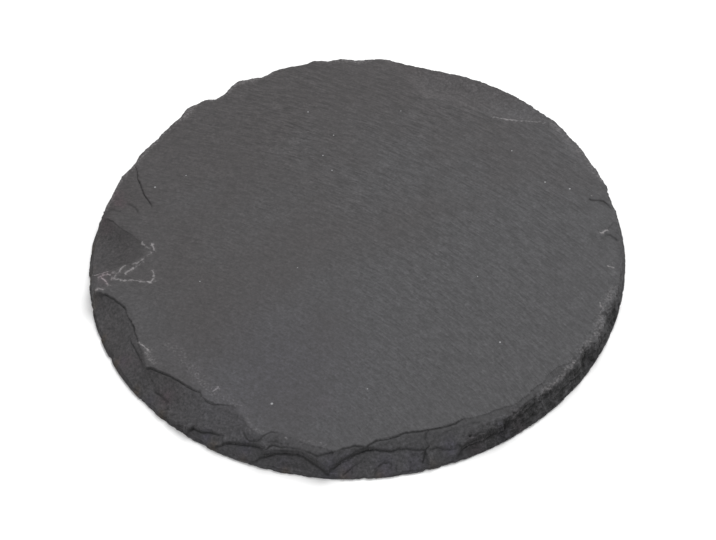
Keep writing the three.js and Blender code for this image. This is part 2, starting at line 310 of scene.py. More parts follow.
        (356, 4, 0.14, 0.8, 0), (359, 3.6, 0.2, 0.9, 0), (362, 1.8, 0.3, 0.7, 0),
    ]),
    # small chips along the back
    (1, 0, (1, 1), 0.5, [
        (82, 1.9, 0.3, 0.8, 0), (86, 3.4, 0.2, 1, 0), (91, 1.8, 0.3, 0.8, 0),
    ]),
    (1, 0, (1, 1), 0.5, [
        (106, 1.6, 0.4, 0.9, 0), (110, 3.2, 0.2, 1.1, 0), (114, 1.8, 0.3, 0.9, 0),
    ]),
    (1, 0, (1, 1), 0.5, [
        (118, 2.2, 0.4, 0.9, 0), (122, 3.8, 0.25, 1.1, 0), (126, 2.8, 0.2, 1, 0),
        (129, 1.6, 0.3, 0.9, 0),
    ]),
    (1, 0, (0.95, 0.95), 0.5, [
        (131, 2.1, 0.4, 0.9, 0), (137, 3.6, 0.2, 1.1, 0), (145, 3.8, 0.15, 1.1, 0),
        (150, 2.4, 0.3, 0.9, 0),
    ]),
]

# Cracks and small ledges that end inside a face, cut in as grooves and painted dark as shade: (width in
# mm, strength, [(angle, radius), ...])
CREASES = [
    # left: beside the dark chip, and on the terrace
    (0.24, 0.65, [(162.5, 44.4), (162.8, 43.8), (163.5, 43), (164.8, 42.1)]),
    (0.3, 0.5, [(165.5, 47.7), (164.7, 47.1), (164.9, 46.3), (165.5, 45.3)]),
    (0.45, 0.22, [(169.6, 44.6), (171.6, 43.2), (172.8, 41.6), (174.6, 40.6), (176.4, 39.8)]),
    (0.5, 0.2, [(208.5, 45.7), (211, 46.1), (213.5, 46.6)]),
    (0.14, 0.5, [(216.2, 46.9), (217.3, 47.2), (218.4, 47.2)]),
    (0.22, 1.1, [(218.8, 47.8), (219.9, 47.6), (220.7, 47.5)]),
    (0.3, 0.8, [(220.7, 47.5), (221.7, 47.6), (223, 47.7)]),
    (0.14, 0.5, [(222.9, 49.7), (223.1, 49.2), (224, 48.7)]),
    (0.16, 0.6, [(225.7, 48.9), (226.4, 48.5)]),
    (0.16, 0.7, [(227.2, 49.8), (228.8, 49.3), (230, 48.9)]),
    # in the curl and in front of the sheet
    (0.14, 0.4, [(247.4, 46.6), (248.5, 47), (250, 46.6), (251.8, 46.7), (252.9, 46.7)]),
    (0.14, 0.4, [(263.6, 47.6), (264.4, 47.1), (265.2, 46.8)]),
    (0.25, 0.35, [(251.5, 49.2), (253.6, 48.9), (255.6, 49), (257, 49.2)]),
    # front face: a branch, a double edge and the crack that crosses both steps
    (0.13, 0.35, [(273.6, 46.1), (275, 45.5), (276.6, 45)]),
    (0.13, 0.4, [(286.6, 46.1), (288.3, 46), (289.8, 45.9)]),
    (0.15, 0.7, [(283.9, 45.1), (283.1, 45.4), (282.6, 46.1)]),
    (0.13, 0.4, [(282.6, 46.1), (282.8, 46.9), (283, 47.3)]),
    (0.17, 1, [(283, 47.3), (282.2, 47.7), (281.6, 48.2), (281, 48.9)]),
    # near the right-hand end, with a small pit painted black as shade
    (0.24, 1.5, [(292, 47.9), (292.2, 47.9)]),
    (0.16, 0.8, [(292.2, 47.9), (292.9, 48.5), (293.7, 48.4), (294.8, 48.6)]),
    (0.14, 0.5, [(293.6, 46.4), (295, 46.9)]), (0.14, 0.5, [(295.8, 48), (297, 48.3), (298.2, 48.9)]),
    # short notches along the foot of the front
    (0.2, 0.5, [(266.5, 49), (266.4, 49.7)]), (0.22, 0.6, [(271.8, 48.9), (271.2, 49.6)]),
    (0.2, 0.5, [(275.6, 48.7), (275.4, 49.5)]), (0.25, 0.6, [(278.5, 48.7), (278.3, 49.6)]),
    (0.6, 0.3, [(278.6, 49.4), (281, 49.4)]),
    # the rough right-hand break: the shadow under its crest, and its hollows
    (0.22, 1.1, [(299, 49.3), (300.2, 48.7), (301.7, 48.4), (303.7, 48.4), (305.6, 48.2)]),
    (0.2, 1, [(305.6, 48.2), (307.4, 48.1), (308.6, 48.3)]),
    (0.25, 0.7, [(302.6, 49.5), (304.8, 49.3), (307, 49.2)]),
    (0.22, 1, [(311, 48.6), (312.5, 48.9), (314.2, 49), (316, 49)]),
    (0.3, 1.1, [(317, 49.1), (318.7, 49.1), (320.4, 49.5)]),
    (0.2, 0.6, [(310.6, 49.5), (312.8, 49.4), (314.6, 49.5)]),
    (0.28, 1.2, [(322.4, 49.3), (323.4, 48.7), (325.1, 48.2)]),
    (0.35, 0.9, [(326.6, 49.2), (326.2, 49.6)]), (0.4, 1.1, [(329.3, 49.4), (328.6, 49.6)]),
    (0.2, 0.7, [(334.4, 47.8), (335.4, 48.3), (336, 49.1), (336.4, 49.6)]),
    (0.4, 1.1, [(340, 49.3), (338.8, 49.4), (337.7, 49.4)]),
    # right: two small breaks that reach in from the rim
    (0.18, 1, [(9.2, 44.9), (8.8, 45.6), (8.6, 46.3), (8.2, 47.2), (7.3, 47.6), (5.7, 48.3)]),
    (0.5, 0.45, [(8, 46.4), (7.2, 47.3), (5.9, 48.3)]), (0.25, 0.3, [(11.8, 47.9), (11.6, 48.8)]),
    (0.2, 0.8, [(358.2, 46.7), (358.2, 47.2), (357.6, 47.7), (356.9, 48.3)]),
    (0.2, 0.35, [(356.6, 45.3), (357.2, 46), (357.8, 46.3)]),
]


def polar(angle, radius):
    """Plan positions as rows of x and y."""
    turn = np.radians(angle)
    return np.stack([radius * np.cos(turn), radius * np.sin(turn)], -1)


def line_reach(plan, line):
    """How far each plan position is from a line through (angle, radius) points."""
    corners = polar(*np.array(line, float).T)
    nearest = np.full(len(plan), 1e9)
    for start, end in zip(corners, corners[1:]):
        span = end - start
        share = np.clip(((plan - start) @ span) / (span @ span), 0, 1)
        gap = plan - start - share[:, None] * span
        nearest = np.minimum(nearest, np.hypot(*gap.T))
    return nearest


def stroke_share(plan, strokes):
    """How strong the (width, strength, line) strokes are at each plan position."""
    share = np.zeros(len(plan))
    for width, strength, line in strokes:
        share = np.maximum(share, strength * np.exp(-(line_reach(plan, line) / width) ** 2))
    return share


def ring_values(points, angle):
    """Each column of a closed outline at the given angles, straight between its points."""
    at, *columns = np.array(points, float).T
    return [np.interp(angle, at, column, period=360) for column in columns]


def rough_stretch(angle):
    """1 along the rough stretch of rim at the lower right, 0 elsewhere."""
    return smooth(angle, *ROUGH_START) * smooth_down(angle, *ROUGH_END)


def riven(x, y):
    """Depth of the split face: long swells, ridges along the stone's grain, and pits."""
    swell = SWELL_DEPTH * layered_noise(x / 28, y / 28, seed=3, octaves=2, gain=0.3)
    across = np.hypot(x - GRAIN_CENTRE[0], y - GRAIN_CENTRE[1])
    along = np.arctan2(y - GRAIN_CENTRE[1], x - GRAIN_CENTRE[0]) * GRAIN_RADIUS
    ridges = layered_noise(across / 0.95, along / 4.5, seed=5, octaves=2)
    strength = 0.25 + 0.75 * smooth(x + 0.35 * y, -22, 20)
    pits = layered_noise(x / 2.2, y / 2.2, seed=8)
    return FACE_DEPTH + swell + RIDGE_DEPTH * strength * ridges + PIT_DEPTH * pits


def laminate(depth, x, y):
    """Breaks a slope into small steps at the stone's layers."""
    count = depth / SHEET_THICKNESS + 0.5 * noise(x / 9, y / 9, seed=21)
    share = count - np.floor(count)
    step = smooth(share, 0.38, 0.62)
    return depth + STEP_SHARE * SHEET_THICKNESS * (step - share)


def wander(angle, radius):
    """Plan positions swayed a little, so that straight outlines break up as stone does."""
    x, y = polar(angle, radius).T
    sway = 0.11 + 0.18 * rough_stretch(angle)
    push = sway * layered_noise(x / 1.5, y / 1.5, seed=31, gain=0.6)
    slide = sway * layered_noise(x / 1.5, y / 1.5, seed=47, gain=0.6)
    return (angle + np.degrees(slide / RADIUS)) % 360, radius + push


def take_layer(stone, layer, angle, radius, plan):
    """Takes the stone off outside a layer's outline, with a crease along the foot of the step that is
    also painted dark as shade, and lays the layer's tone, partly painted light and shade, over it.
    """
    ease, hollow, (inner, outer), blend, points = layer
    at, *columns = np.array(points, float).T
    middle = (at[0] + at[-1]) / 2
    turn = (angle - middle + 180) % 360 - 180 + middle
    near = (turn > at[0] - 3) & (turn < at[-1] + 3) & (radius > RADIUS - BAND_INSET)
    turn, radius, plan = turn[near], radius[near], plan[near]
    depth, tone_and_painted_light, crease = (stone[name][near] for name in ("depth", "tone_and_painted_light", "crease"))
    inset, foot, rim, dark = (np.interp(turn, at, column) for column in columns)
    edge = RADIUS - inset
    share = np.clip((radius - edge) / np.maximum(inset, 0.05), 0, 1)
    floor = foot + (rim - foot) * share + hollow * np.sin(math.pi * share)
    fade = smooth(turn, at[0], at[0] + ease) * smooth_down(turn, at[-1] - ease, at[-1])
    drop = np.where(radius > edge, fade * np.clip(floor - depth, 0, None), 0)
    reach = line_reach(plan, [(p[0], RADIUS - p[1]) for p in points])
    cover = smooth(drop, 0, 0.1) * smooth(reach, 0, blend)
    # the crease along the foot of the step is painted dark as shade
    line = dark * fade * np.exp(-(reach / CREASE_WIDTH) ** 2)
    stone["depth"][near] = depth + drop
    # the layer's tone, partly painted light and shade
    stone["tone_and_painted_light"][near] = tone_and_painted_light + cover * (inner + (outer - inner) * share - tone_and_painted_light)
    stone["crease"][near] = np.maximum(crease * (1 - cover), line)


def relief(angle, radius):
    """Depth below the top face, the stone's tone with its painted light and shade, and the painted
    shade in its creases.
    """
    x, y = polar(angle, radius).T
    angle, radius = wander(angle, radius)
    plan = polar(angle, radius)
    stone = dict(depth=riven(x, y), tone_and_painted_light=np.ones(len(x)), crease=np.zeros(len(x)))
    # a worn top edge just inside the outer break
    inset, foot, tone = ring_values(OUTER_BREAK, angle)
    wear = np.clip(radius - (RADIUS - inset - 0.9), 0, None)
    stone["depth"] += 0.35 * wear ** 2
    for layer in LAYERS:
        take_layer(stone, layer, angle, radius, plan)
    crease = np.maximum(stone["crease"], stroke_share(plan, CREASES))
    depth = stone["depth"] + CREASE_DEPTH * crease

    share = np.clip((radius - (RADIUS - inset)) / np.maximum(inset - 0.1, 0.1), 0, 1)
    face = laminate(foot + (RIM_FLOOR - foot) * share ** 0.9, x, y)
    outside = radius > RADIUS - inset
    depth = np.where(outside, np.maximum(depth, face), depth)
    # the broken rim's darker tone is partly painted shade
    tone_and_painted_light = np.where(outside, np.minimum(tone, stone["tone_and_painted_light"]), stone["tone_and_painted_light"])

    broken = smooth(depth, 0.25, 0.7)
    crest = rough_stretch(angle) * smooth(radius, RADIUS - 3.6, RADIUS - 1.8)
    crumble = 0.035 * broken + 0.08 * crest
    depth = depth + crumble * layered_noise(x / 1.1, y / 1.1, seed=61, gain=0.6)
    return np.clip(depth, 0, THICKNESS - LOWEST_BREAK), tone_and_painted_light, crease


# The mesh


def stitch(outer, inner, outer_count, inner_count):
    """Triangles between two rings, where the inner one has as many points or half as many."""
    near = np.arange(inner_count)
    following = (near + 1) % inner_count
    if outer_count == inner_count:
        first = np.stack([outer + near, outer + following, inner + following], 1)
        second = np.stack([outer + near, inner + following, inner + near], 1)
        return [first, second]
    even, odd = 2 * near, 2 * near + 1
    wrap = (2 * near + 2) % outer_count
    return [
        np.stack([outer + even, outer + odd, inner + near], 1),
        np.stack([outer + odd, inner + following, inner + near], 1),
        np.stack([outer + odd, outer + wrap, inner + following], 1),
    ]


def nibble(angle):
    """How far the rim's outline falls short of the full circle, in small bites."""
    x, y = polar(angle, RADIUS).T
    bites = layered_noise(x / 1.7, y / 1.7, seed=91, gain=0.6)
    return (0.2 - 0.12 * rough_stretch(angle)) * np.clip(bites, 0, None)


def even_out(radius, height, crease):
    """Shares each column's points out evenly along its own outline."""
    run = np.hypot(np.diff(radius, axis=1), np.diff(height, axis=1))
    travel = np.concatenate([np.zeros((COLUMNS, 1)), np.cumsum(run, axis=1)], 1)
    even = np.empty((3, COLUMNS, BAND_RINGS))
    for column in range(COLUMNS):
        stops = np.linspace(0, travel[column, -1], BAND_RINGS)
        for row, values in enumerate((radius, height, crease)):
            even[row, column] = np.interp(stops, travel[column], values[column])
    return even


def push_ledges(angle, radius, height):
    """Pushes steep faces in and out along the layers of the stone."""
    steep = np.abs(np.gradient(height, axis=1))
    steep = steep / np.hypot(steep, np.gradient(radius, axis=1)).clip(1e-6)
    x, y = radius * np.cos(np.radians(angle)), radius * np.sin(np.radians(angle))
    ledges = noise(x / 4, y / 4, height / LEDGE_THICKNESS, seed=81)
    crumbs = layered_noise(x / 0.9, y / 0.9, height / 0.6, seed=83, gain=0.6)
    rough = rough_stretch(angle)
    push = (0.17 + 0.04 * rough) * ledges + (0.07 + 0.13 * rough) * crumbs
    ease = smooth(steep, 0.6, 0.95) * smooth(height, 0.02, 0.4)
    return np.minimum(radius + ease * (push - 0.04), RADIUS)


def rim_band():
    """Every column's points from the top face over the rim to the underside's edge."""
    angle = np.arange(COLUMNS)[:, None] * 360.0 / COLUMNS
    radius = np.arange(RADIUS - BAND_INSET, RADIUS + BAND_STEP / 2, BAND_STEP)[None, :]
    angles, radius = np.broadcast_arrays(angle, radius)
    depth, _, crease = relief(angles.ravel(), radius.ravel())
    foot_radius = RADIUS - RIM_LEAN - 0.1 * np.abs(noise(angle * 0.8, 0.5, seed=71))
    radius = np.concatenate([radius, foot_radius], 1)
    height = np.concatenate([THICKNESS - depth.reshape(angles.shape), 0 * foot_radius], 1)
    crease = np.concatenate([crease.reshape(angles.shape), 0 * foot_radius], 1)
    radius, height, crease = even_out(radius, height, crease)
    bite = nibble(angle[:, 0])[:, None]
    radius = radius - bite * smooth(radius, RADIUS - 4, RADIUS - 0.3)
    return angle, push_ledges(angle, radius, height), height, crease


def disc_rings(radius, spacing, height):
    """Rings from just inside radius to near the centre, halving their points as they shrink."""
    rings, count = [], COLUMNS
    while radius > spacing * 1.5:
        radius -= spacing
        if count % 2 == 0 and 2 * math.pi * radius / count < spacing * 0.62:
            count //= 2
        x, y = polar(np.arange(count) * 360.0 / count, radius).T
        rings.append(np.stack([x, y, height(x, y)], 1))
    return rings


def slab_mesh():
    """The slab's points, its triangles, and which points are too fine to be thinned out."""
    angle, radius, height, crease = rim_band()
    x, y = radius * np.cos(np.radians(angle)), radius * np.sin(np.radians(angle))
    band = np.stack([x, y, height], 2)
    top = disc_rings(RADIUS - BAND_INSET, FACE_SPACING, lambda x, y: THICKNESS - riven(x, y))
    under = disc_rings(RADIUS - 0.3, UNDERSIDE_SPACING, lambda x, y: 0 * x)
    rings = top[::-1] + [band[:, ring] for ring in range(BAND_RINGS)] + under
    starts = np.concatenate([[0], np.cumsum([len(ring) for ring in rings])])
    triangles = []
    for ring in range(len(rings) - 1):
        here, there = len(rings[ring]), len(rings[ring + 1])
        if here <= there:
            triangles += stitch(starts[ring + 1], starts[ring], there, here)
        else:
            triangles += [t[:, ::-1] for t in stitch(starts[ring], starts[ring + 1], here, there)]
    points = np.concatenate(rings + [[[0, 0, THICKNESS - riven(0, 0)], [0, 0, 0]]])
    for centre, start, count, flip in (
        (len(points) - 2, 0, len(rings[0]), 1),
        (len(points) - 1, starts[-2], len(rings[-1]), -1),
    ):
        near = np.arange(count)
        fan = np.stack([start + near, start + (near + 1) % count, np.full(count, centre)], 1)
        triangles.append(fan[:, ::flip])
    fine = np.zeros(len(points), bool)
    first = starts[len(top)]
    fine[first:first + crease.size] = crease.T.ravel() > 0.08
    fine |= (points[:, 2] > THICKNESS / 2) & (crushed_share(points[:, :2]) > 0.1)
    return points, np.concatenate(triangles), fine


def new_mesh(name, points, triangles):
    mesh = bpy.data.meshes.new(name)
    mesh.vertices.add(len(points))
    mesh.vertices.foreach_set("co", np.ascontiguousarray(points, np.float32).ravel())
    mesh.loops.add(triangles.size)
    mesh.loops.foreach_set("vertex_index", np.ascontiguousarray(triangles, np.int32).ravel())
    mesh.polygons.add(len(triangles))
    mesh.polygons.foreach_set("loop_start", np.arange(0, triangles.size, 3, dtype=np.int32))
    mesh.update(calc_edges=True)
    mesh.validate()
    return mesh


def mesh_points(mesh):
    points = np.empty(len(mesh.vertices) * 3, np.float32)
    mesh.vertices.foreach_get("co", points)
    return points.reshape(-1, 3).astype(float)


def keep_in_box(mesh):
    """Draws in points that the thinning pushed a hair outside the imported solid."""
    points = mesh_points(mesh)
    reach = np.hypot(*points[:, :2].T)
    points[:, :2] *= np.minimum(1, (RADIUS - BOX_MARGIN) / reach.clip(1))[:, None]
    points[:, 2] = np.clip(points[:, 2], 0, THICKNESS - BOX_MARGIN)
    mesh.vertices.foreach_set("co", points.astype(np.float32).ravel())


def build_slab():
    points, triangles, fine = slab_mesh()
    mesh = new_mesh("slate_slab_stone", points, triangles)
    slab = bpy.data.objects.new(mesh.name, mesh)
    bpy.context.scene.collection.objects.link(slab)
    # flat stretches are thinned out, and creases and pale strokes stay fine
    coarse = slab.vertex_groups.new(name="coarse")
    coarse.add(np.flatnonzero(~fine).tolist(), 1.0, "REPLACE")
    thin = slab.modifiers.new("thin", "DECIMATE")
    thin.ratio = TRIANGLES / len(triangles)
    thin.vertex_group = coarse.name
    bpy.context.view_layer.objects.active = slab
    slab.select_set(True)
    bpy.ops.object.modifier_apply(modifier=thin.name)
    slab.vertex_groups.clear()
    keep_in_box(slab.data)
    slab.data.transform(Matrix.Scale(MM, 4))
    slab.data.polygons.foreach_set("use_smooth", np.ones(len(slab.data.polygons), bool))
    slab.data.set_sharp_from_angle(angle=math.radians(SHARP_TURN))
    return slab


# Colours, as linear shares of the light thrown back

WARM_SLATE = (0.0381, 0.0349, 0.0358, 1)
COOL_SLATE = (0.0430, 0.0423, 0.0448, 1)
CRUSHED_STONE = (0.225, 0.213, 0.217, 1)
WORN_STONE = (0.12, 0.115, 0.118, 1)
PALE_GRAIN = (0.28, 0.28, 0.29, 1)
STONE_IOR = 1.45
TINTS = dict(
    rose=(1.38, 1.03, 1.16, 1),
    rust=(1.4, 1.12, 0.72, 1),
    blue=(0.97, 0.94, 1.22, 1),
    pale=(1.13, 1.11, 1.14, 1),
)

# Marks that the material reads, kept on the mesh's points

# Crushed, pale stone along broken edges: (width in mm, strength, [(angle, radius), ...])
CRUSHED = [
    # left: the strokes around the dark chip
    (0.18, 0.8, [(175.5, 39.8), (176, 39.3)]), (0.18, 0.6, [(176.6, 38.8), (177.2, 38.4)]),
    (0.22, 0.8, [(176.1, 37.6), (177.2, 37.6), (178.3, 37.4)]),
    (0.2, 0.45, [(179, 37.9), (179.7, 38.7)]),
    (0.19, 0.6, [(181.2, 39.3), (182, 40), (182.2, 40.7), (182.8, 41.3)]),
    (0.19, 0.5, [(182.3, 39.4), (183.1, 40.4), (184, 41)]),
    (0.18, 0.9, [(184.1, 41.3), (184.5, 41.9), (185.1, 42.5), (185.5, 42.9)]),
    (0.19, 0.8, [(182.8, 42.9), (183.4, 43.5), (184.3, 43.8)]),
    (0.19, 0.65, [(184.7, 43.9), (185, 45.1)]),
    (0.18, 0.75, [(185.5, 44.5), (186.4, 44.8), (186.7, 45.4)]),
    (0.17, 0.75, [(186.7, 45.4), (186.7, 44.2), (187.3, 43.9), (187.6, 42.7), (188.5, 40.9)]),
    (0.17, 0.7, [(188.5, 40.9), (189.5, 39.1)]),
    (0.2, 1, [(189.5, 39.1), (189.8, 38.4), (188.5, 37.7)]),
    (0.18, 0.8, [(187.8, 37.6), (186.5, 37.6), (185.9, 37.7)]),
    (0.22, 0.8, [(184.7, 48.4), (184.1, 47.6), (184.1, 46.7), (184.3, 46.1)]),
    (0.22, 0.65, [(185.8, 47.9), (185.2, 47.3), (185.1, 46.4), (185.4, 45.6)]),
    (0.22, 0.75, [(185.2, 47.5), (186.2, 47), (187, 46.5), (188.1, 46.2)]),
    (0.22, 0.7, [(188.9, 48.6), (188.6, 47.9), (189.2, 47.3)]),
    # along the terrace
    (0.16, 0.8, [(206.8, 44.8), (208.2, 44.7), (209.4, 44.5), (210.4, 44.1)]),
    (0.8, 0.34, [(210.6, 44.3), (212, 44.6), (213.6, 44.9)]),
    (0.16, 0.8, [(230.8, 41.9), (230.8, 41.2), (230.6, 40.5)]),
    (1.4, 0.16, [(211, 41), (215, 40.2), (219, 40.4), (223, 40.8), (228, 41.8), (232, 42.2)]),
    (1.1, 0.13, [(232, 42.2), (236, 41.8), (240, 42.6), (243, 44.6)]),
    (0.15, 0.5, [(224.1, 48.2), (224.5, 48.4)]),
    # along the front
    (0.6, 0.2, [(243.5, 45.8), (245, 45.5), (246.4, 45.7)]), (0.2, 0.4, [(251.8, 45.5), (252.4, 45.7)]),
    (0.5, 0.16, [(255, 45.9), (258.6, 45.9), (261, 46.4)]), (0.16, 0.8, [(285, 49.2), (285.8, 49.1)]),
    (0.14, 0.6, [(286.8, 49.2), (286.6, 49.5)]), (0.16, 0.7, [(283.4, 49.8), (283.8, 49.8)]),
    # the crumbled crest on the right
    (0.5, 0.35, [(310.2, 48.1), (312.4, 48.2), (314.1, 48.3), (316.3, 48.4), (317.9, 48.2)]),
    (0.5, 0.33, [(317.9, 48.2), (320.8, 48.1), (321.6, 48.7)]),
    (0.16, 0.9, [(320.6, 47.9), (320.9, 48.3)]), (0.16, 0.7, [(314, 48.2), (314.4, 48.4)]),
    (0.6, 0.33, [(323.9, 47.9), (326.6, 48.3), (328.9, 48.7), (331.5, 48.9)]),
    (0.9, 0.24, [(331, 48.4), (334, 48), (337, 47.6), (340.3, 48.1), (343, 48.6)]),
    (0.18, 0.7, [(337.9, 46.9), (336.8, 47.2)]), (0.16, 0.8, [(340.3, 47.9), (340.2, 48.5)]),
    # right
    (0.18, 1, [(358.5, 45.5), (359.1, 46.1), (359.4, 46.6)]),
    (0.2, 0.9, [(348.8, 46.8), (348.6, 47.7)]), (0.6, 0.12, [(346, 48), (350, 47.6), (354, 47.8)]),
    (0.15, 0.5, [(10.5, 45.4), (10.2, 45.8)]), (0.25, 0.35, [(15.3, 48.2), (14.2, 48.7)]),
    (0.7, 0.24, [(15.4, 48.3), (20.6, 48.1), (26.1, 48), (31.6, 48.2), (35.8, 47.8)]),
    # rear
    (0.26, 0.75, [(46.6, 41.2), (43.4, 42.4), (41, 43.6)]),
    (0.2, 0.5, [(41, 43.6), (39, 45), (36.2, 46.8)]), (0.6, 0.32, [(84, 47.7), (88, 47.6), (94, 48)]),
    (0.6, 0.36, [(108, 47.8), (112, 47.6), (116, 48.3), (120, 47), (124, 47.4)]),
    (0.7, 0.38, [(128, 48.2), (131.5, 47.4), (134, 47.6)]),
    (0.6, 0.32, [(134, 47.6), (142, 47.4), (150, 47.2), (157, 48.2), (165, 48.2)]),
]

# Single pale grains in the top face: (angle, radius, half width in mm)
GRAINS = [
    (245.6, 39.5, 0.26), (314.3, 35.4, 0.2), (155.5, 41, 0.2), (14.1, 42.1, 0.2), (102.6, 35.1, 0.17),
    (96.1, 27.8, 0.15), (72.6, 34.6, 0.13), (103, 23.1, 0.16), (101, 18.9, 0.15), (148.1, 37, 0.14),
    (18.7, 38.4, 0.18), (193.6, 29.7, 0.14), (34, 37.2, 0.15), (271, 34, 0.13), (336, 24, 0.13),
    (205, 12, 0.12),
]

# Patches of each tint: (angle, radius, reach in mm, strength)
TINTED = dict(
    rose=[
        (160.5, 47.1, 1.2, 0.6), (162.5, 46.2, 1.2, 0.9), (163.4, 45.2, 0.8, 0.5),
        (168.6, 48.2, 1.2, 0.5), (170.3, 46.9, 1.2, 0.4), (185.1, 46.8, 1.3, 0.55),
        (187.2, 46.9, 1, 0.5), (221.9, 47.3, 1.4, 0.7), (208.2, 48.1, 1.5, 0.45), (211, 46.9, 1.2, 0.3),
        (259.1, 37.3, 1.6, 0.2), (292.5, 49.3, 1.2, 0.5), (266, 49.6, 1.6, 0.25), (273, 49.7, 1.4, 0.2),
        (302.6, 49.4, 1.4, 0.4),
    ],
    rust=[
        (173.1, 49.9, 1.1, 0.6), (181.6, 49.7, 1.1, 0.6), (190, 49.8, 1.1, 0.6),
        (198.8, 49.6, 0.7, 0.8), (206.3, 49.6, 0.8, 0.8), (215, 49.8, 0.8, 0.8),
        (223.3, 49.9, 0.8, 0.7), (237, 49.9, 0.9, 0.7), (244, 49.9, 0.8, 0.6), (253, 49.9, 0.8, 0.9),
        (265, 49.9, 0.9, 0.5), (272, 49.9, 0.8, 0.5), (283, 49.9, 0.8, 0.4),
    ],
    blue=[
        (234.8, 48.8, 1, 0.7), (243.9, 48.5, 1.3, 0.7), (252.5, 49.3, 1.3, 0.6),
        (262.2, 49.3, 1.6, 0.7), (265.5, 48.4, 1.3, 0.6), (273.5, 48.6, 1.8, 0.6),
        (287.3, 48.3, 1.4, 0.8), (299, 49.5, 1.2, 0.7), (279.4, 48.8, 1.8, 0.6), (207, 48.6, 0.9, 0.5),
        (219, 49.2, 1, 0.5), (243, 33, 14, 0.35),
    ],
    pale=[
        (214, 40.6, 2.4, 0.6), (222, 40.8, 2.2, 0.6), (232, 42.2, 2.6, 0.7), (240.5, 42.4, 2, 0.5),
    ],
)


def crushed_share(plan):
    """How crushed the stone is at each plan position, on slightly swayed strokes."""
    sway = [0.22 * layered_noise(*plan.T / 0.9, seed=seed, octaves=2) for seed in (101, 103)]
    return stroke_share(plan + np.stack(sway, 1), CRUSHED)


def bend(mesh, points):
    """How sharply each point stands out: below 0 in a hollow, above 0 on a ridge."""
    pairs = np.empty(len(mesh.edges) * 2, np.int32)
    mesh.edges.foreach_get("vertices", pairs)
    pairs = pairs.reshape(-1, 2)
    normals = np.empty(len(mesh.vertices) * 3, np.float32)
    mesh.vertices.foreach_get("normal", normals)
    normals = normals.reshape(-1, 3)
    along = points[pairs[:, 1]] - points[pairs[:, 0]]
    along /= np.linalg.norm(along, axis=1, keepdims=True).clip(1e-9)
    total, count = np.zeros(len(points)), np.zeros(len(points))
    for end, way in ((0, -1), (1, 1)):
        rise = way * np.einsum("ij,ij->i", normals[pairs[:, end]], along)
        np.add.at(total, pairs[:, end], rise)
        np.add.at(count, pairs[:, end], 1)
    return total / count.clip(1)


def mark(mesh, name, values):
    layer = mesh.attributes.new(name, "FLOAT", "POINT")
    layer.data.foreach_set("value", np.ascontiguousarray(values, np.float32))


def mark_slab(mesh):
    points = mesh_points(mesh) / MM
    plan, height = points[:, :2], points[:, 2]
    angle = np.degrees(np.arctan2(plan[:, 1], plan[:, 0])) % 360
    radius = np.hypot(*plan.T)
    _, tone_and_painted_light, crease = relief(angle, radius)
    below = smooth_down(height, 0.1, 0.5)
    # the stone's tone per region, partly painted light and shade; the underside is a plain 0.95
    mark(mesh, "tone_and_painted_light", tone_and_painted_light + below * (0.95 - tone_and_painted_light))
    # painted shade in the creases
    mark(mesh, "crease", crease * smooth(height, 0.3, 1))
    mark(mesh, "broken", smooth(THICKNESS - height, 0.25, 0.75))
    # the rough stretch, where the material paints shade into pits and light onto crumbs
    mark(mesh, "rough", smooth(radius, RADIUS - 3.6, RADIUS - 1.6) * rough_stretch(angle))
    lowest = THICKNESS - 3.6 + 1.8 * rough_stretch(angle)
    mark(mesh, "crushed", crushed_share(plan) * smooth(height - lowest, 0, 0.7))
    sharp = bend(mesh, points)
    mark(mesh, "ridge", smooth(sharp, 0.12, 0.45) * smooth(height, 0.1, 0.5))
    # painted shade in hollows
    mark(mesh, "hollow", smooth(-sharp, 0.1, 0.45))
    for name, patches in TINTED.items():
        tint = np.zeros(len(points))
        for at, out, reach, strength in patches:
            gap = np.linalg.norm(plan - polar(at, out), axis=1) / reach
            tint = np.maximum(tint, strength * np.exp(-gap ** 2))
        mark(mesh, name, tint)


# Slate


class Graph:
    """A material's nodes, with one short call for each kind used here."""

    def __init__(self, name):
        self.material = bpy.data.materials.new(name)
        self.material.use_nodes = True
        self.tree = self.material.node_tree
        self.shader = self.tree.nodes["Principled BSDF"]

    def node(self, kind, values=(), **settings):
        made = self.tree.nodes.new("ShaderNode" + kind)
        for key, value in settings.items():
            setattr(made, key, value)
        for socket, value in values:
            self.put(made.inputs[socket], value)
        return made

    def put(self, socket, value):
        if isinstance(value, bpy.types.NodeSocket):
            self.tree.links.new(value, socket)
        else:
            socket.default_value = value

    def mark(self, name):
        return self.node("Attribute", attribute_name=name).outputs["Fac"]

    def math(self, operation, *values):
        return self.node("Math", enumerate(values), operation=operation).outputs[0]

    def scaled(self, value, factor, start):
        """The value times the factor, added to the start."""
        return self.math("MULTIPLY_ADD", value, factor, start)

    def vector(self, operation, *values):
        made = self.node("VectorMath", enumerate(values), operation=operation)
        return made.outputs["Value" if operation in ("LENGTH", "DISTANCE") else "Vector"]

    def noise(self, vector, scale, detail=2.0, roughness=0.5, distortion=0.0):
        values = dict(Vector=vector, Scale=scale, Detail=detail)
        values.update(Roughness=roughness, Distortion=distortion)
        return self.node("TexNoise", values.items()).outputs["Fac"]

    def spread(self, value, low, high, start, end, way="LINEAR"):
        values = [(0, value), (1, low), (2, high), (3, start), (4, end)]
        return self.node("MapRange", values, interpolation_type=way).outputs[0]

    def ease(self, value, low, high, start=0.0, end=1.0):
        return self.spread(value, low, high, start, end, "SMOOTHSTEP")

    def blend(self, share, first, second, way="MIX"):
        values = [(0, share), (6, first), (7, second)]
        return self.node("Mix", values, data_type="RGBA", blend_type=way).outputs[2]

    def grey(self, value):
        return self.node("CombineColor", [(0, value), (1, value), (2, value)]).outputs[0]

    def product(self, first, *others):
        for other in others:
            first = self.math("MULTIPLY", first, other)
        return first


